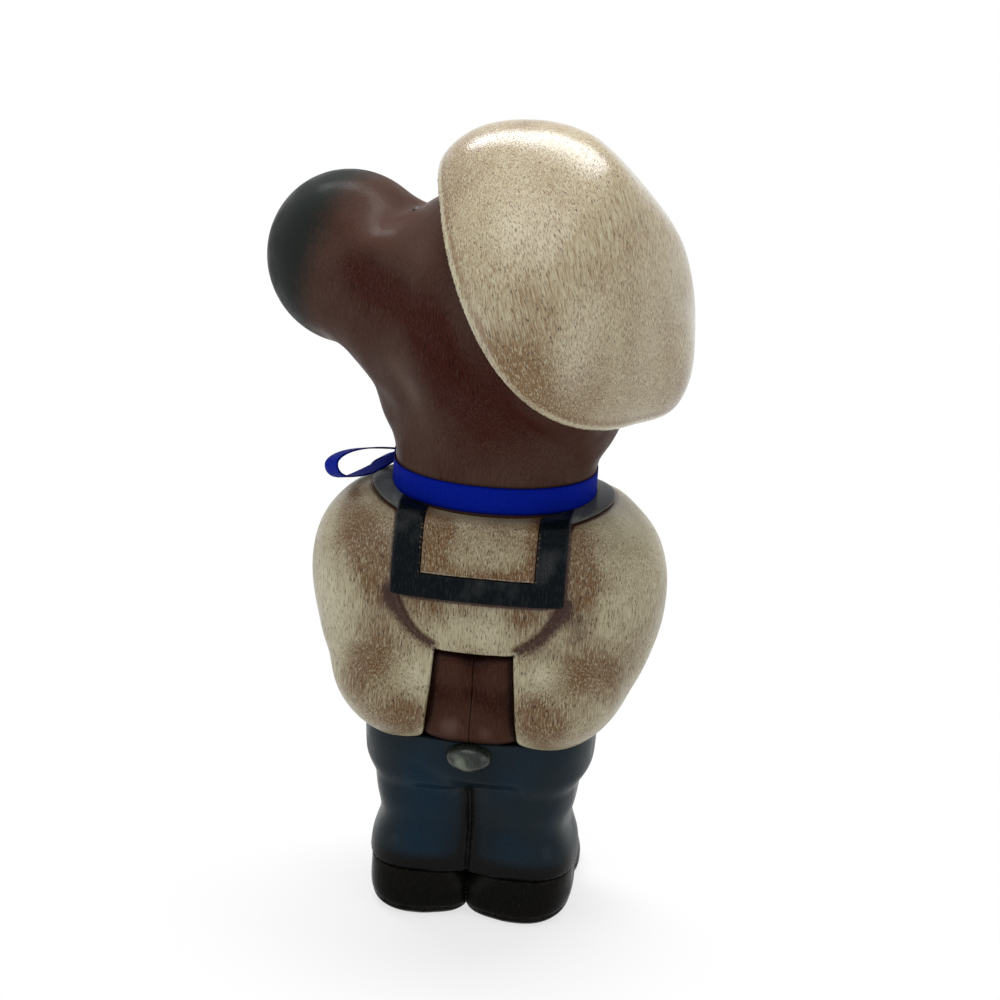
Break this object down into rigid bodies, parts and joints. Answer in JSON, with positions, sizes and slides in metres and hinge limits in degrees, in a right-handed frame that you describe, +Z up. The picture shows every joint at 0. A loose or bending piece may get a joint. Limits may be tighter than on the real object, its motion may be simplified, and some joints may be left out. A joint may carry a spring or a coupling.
{
  "type": "carved bear figurine",
  "caption": "Carved and painted wooden bear standing in a sailor blouse, beret and neck ribbon, head turned aside and paws clasped behind.",
  "frame": {"origin": "middle of the whole figure's box, on the plane that the shoe soles rest on", "axes": "+Z up along the standing figure, -Y the way the chest faces, +Y the back, +X the bear's left side, to which its head is turned"},
  "size_m": [0.1592, 0.119, 0.2966],
  "materials": {
    "cream_paint": "satin varnish over antiqued cream paint",
    "navy_paint": "satin varnish over navy paint",
    "trouser_paint": "satin varnish over dark blue-grey paint",
    "brown_finish": "satin varnish over dark brown stain, black at the nose",
    "black_gloss": "gloss varnish over black paint",
    "bare_wood": "bare turned hardwood",
    "ribbon": "ribbed woven ribbon"
  },
  "bodies": {
    "root": {"head": "brown_finish", "left_eye": "black_gloss", "right_eye": "black_gloss", "beret": "cream_paint", "blouse": "cream_paint", "sailor_collar": "navy_paint", "collar_panel": "cream_paint", "left_paw": "brown_finish", "right_paw": "brown_finish", "trousers": "trouser_paint", "tail_knob": "trouser_paint", "left_shoe": "black_gloss", "right_shoe": "black_gloss", "neck_dowel": "bare_wood", "beret_dowel": "bare_wood", "waist_dowel_left": "bare_wood", "waist_dowel_right": "bare_wood", "shoe_dowel_left": "bare_wood", "shoe_dowel_right": "bare_wood", "ribbon_band": "ribbon", "ribbon_knot": "ribbon", "ribbon_loop_back": "ribbon", "ribbon_loop_front": "ribbon", "ribbon_end_left": "ribbon", "ribbon_end_right": "ribbon"}
  },
  "joints": []
}
